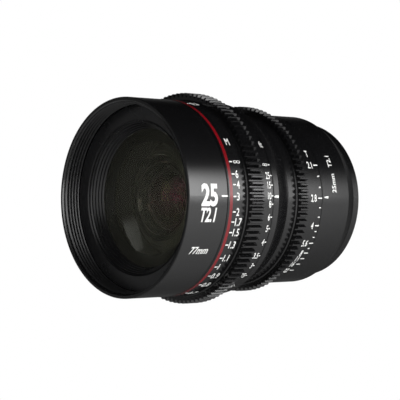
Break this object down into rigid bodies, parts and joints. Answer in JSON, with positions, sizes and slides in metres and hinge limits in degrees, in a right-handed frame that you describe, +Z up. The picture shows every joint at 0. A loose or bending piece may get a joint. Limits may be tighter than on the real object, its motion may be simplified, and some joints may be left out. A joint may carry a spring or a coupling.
{
  "type": "cinema prime lens",
  "caption": "Prime lens for film cameras with geared focus and iris rings, distance and stop scales, filter thread and rear bayonet.",
  "frame": {"origin": "on the optical axis, in the plane of the mounting flange face", "axes": "optical axis along Y with the front glass looking to -Y; +Z up; the scales and index marks face +X"},
  "size_m": [0.0864, 0.1092, 0.0864],
  "materials": {
    "black_anodised": "satin black anodised",
    "matt_black": "matt black anodised",
    "red_anodised": "satin red anodised",
    "bare_aluminium": "turned and greased",
    "lens_glass": "polished and coated",
    "stainless_steel": "fine turned",
    "blackened_steel": "blackened",
    "bronze": "turned",
    "blade_black": "matt dry film"
  },
  "bodies": {
    "barrel": {"front_barrel": "black_anodised", "front_bezel": "matt_black", "main_tube": "matt_black", "centre_housing": "black_anodised", "rear_barrel": "black_anodised", "focus_stop_block": "stainless_steel", "housing_screws": "blackened_steel", "barrel_screws": "blackened_steel", "front_cell": "matt_black", "first_element": "lens_glass", "second_element": "lens_glass", "second_retainer": "matt_black", "third_element": "lens_glass", "third_retainer": "matt_black", "iris_front_plate": "matt_black", "iris_base_plate": "matt_black", "iris_retainer": "matt_black", "rear_cell": "matt_black", "seventh_element": "lens_glass", "eighth_element": "lens_glass", "doublet_retainer": "matt_black", "ninth_element": "lens_glass", "ninth_retainer": "matt_black", "tenth_element": "lens_glass", "rear_retainer": "matt_black", "mount_shim": "stainless_steel", "bayonet_mount": "stainless_steel", "mount_screws": "stainless_steel", "rear_baffle": "matt_black"},
    "focus_drive": {"focus_ring": "black_anodised", "red_accent_ring": "red_anodised", "focus_gear": "black_anodised", "focus_cam_sleeve": "bare_aluminium", "focus_ring_screws": "blackened_steel"},
    "focus_group": {"focus_carriage": "matt_black", "cam_pins": "bronze", "fourth_element": "lens_glass", "fifth_element": "lens_glass", "sixth_element": "lens_glass", "focus_spacer": "matt_black", "focus_retainer": "matt_black"},
    "iris_drive": {"iris_ring": "black_anodised", "iris_gear": "black_anodised", "iris_drive_pin": "stainless_steel", "iris_rotor": "matt_black"},
    "blade_1": {"iris_blade_1": "blade_black"},
    "blade_2": {"iris_blade_2": "blade_black"},
    "blade_3": {"iris_blade_3": "blade_black"},
    "blade_4": {"iris_blade_4": "blade_black"},
    "blade_5": {"iris_blade_5": "blade_black"},
    "blade_6": {"iris_blade_6": "blade_black"},
    "blade_7": {"iris_blade_7": "blade_black"},
    "blade_8": {"iris_blade_8": "blade_black"},
    "blade_9": {"iris_blade_9": "blade_black"}
  },
  "joints": [
    {"name": "focus_turn", "type": "hinge", "parent": "barrel", "child": "focus_drive", "pos_m": [0, 0, 0], "axis": [0, -1, 0], "range_deg": [-20.3, 296.6]},
    {"name": "focus_slide", "type": "slide", "parent": "barrel", "child": "focus_group", "axis": [0, 1, 0], "range_m": [-0.0004, 0.00577]},
    {"name": "iris_turn", "type": "hinge", "parent": "barrel", "child": "iris_drive", "pos_m": [0, 0, 0], "axis": [0, -1, 0], "range_deg": [-21.5, 58]},
    {"name": "blade_1_turn", "type": "hinge", "parent": "barrel", "child": "blade_1", "pos_m": [0.021, -0.04115, 0], "axis": [0, -1, 0], "range_deg": [-6.6, 17.7]},
    {"name": "blade_2_turn", "type": "hinge", "parent": "barrel", "child": "blade_2", "pos_m": [0.01609, -0.04085, -0.0135], "axis": [0, -1, 0], "range_deg": [-6.6, 17.7]},
    {"name": "blade_3_turn", "type": "hinge", "parent": "barrel", "child": "blade_3", "pos_m": [0.00365, -0.04055, -0.02068], "axis": [0, -1, 0], "range_deg": [-6.6, 17.7]},
    {"name": "blade_4_turn", "type": "hinge", "parent": "barrel", "child": "blade_4", "pos_m": [-0.0105, -0.04025, -0.01819], "axis": [0, -1, 0], "range_deg": [-6.6, 17.7]},
    {"name": "blade_5_turn", "type": "hinge", "parent": "barrel", "child": "blade_5", "pos_m": [-0.01973, -0.03995, -0.00718], "axis": [0, -1, 0], "range_deg": [-6.6, 17.7]},
    {"name": "blade_6_turn", "type": "hinge", "parent": "barrel", "child": "blade_6", "pos_m": [-0.01973, -0.03965, 0.00718], "axis": [0, -1, 0], "range_deg": [-6.6, 17.7]},
    {"name": "blade_7_turn", "type": "hinge", "parent": "barrel", "child": "blade_7", "pos_m": [-0.0105, -0.03935, 0.01819], "axis": [0, -1, 0], "range_deg": [-6.6, 17.7]},
    {"name": "blade_8_turn", "type": "hinge", "parent": "barrel", "child": "blade_8", "pos_m": [0.00365, -0.03905, 0.02068], "axis": [0, -1, 0], "range_deg": [-6.6, 17.7]},
    {"name": "blade_9_turn", "type": "hinge", "parent": "barrel", "child": "blade_9", "pos_m": [0.01609, -0.03875, 0.0135], "axis": [0, -1, 0], "range_deg": [-6.6, 17.7]}
  ],
  "couplings": [
    {"joint": "focus_slide", "follows": "focus_turn", "m_per_rad": 0.0011141},
    {"joint": "blade_1_turn", "follows": "iris_turn", "ratio": 0.30456},
    {"joint": "blade_2_turn", "follows": "iris_turn", "ratio": 0.30456},
    {"joint": "blade_3_turn", "follows": "iris_turn", "ratio": 0.30456},
    {"joint": "blade_4_turn", "follows": "iris_turn", "ratio": 0.30456},
    {"joint": "blade_5_turn", "follows": "iris_turn", "ratio": 0.30456},
    {"joint": "blade_6_turn", "follows": "iris_turn", "ratio": 0.30456},
    {"joint": "blade_7_turn", "follows": "iris_turn", "ratio": 0.30456},
    {"joint": "blade_8_turn", "follows": "iris_turn", "ratio": 0.30456},
    {"joint": "blade_9_turn", "follows": "iris_turn", "ratio": 0.30456}
  ]
}
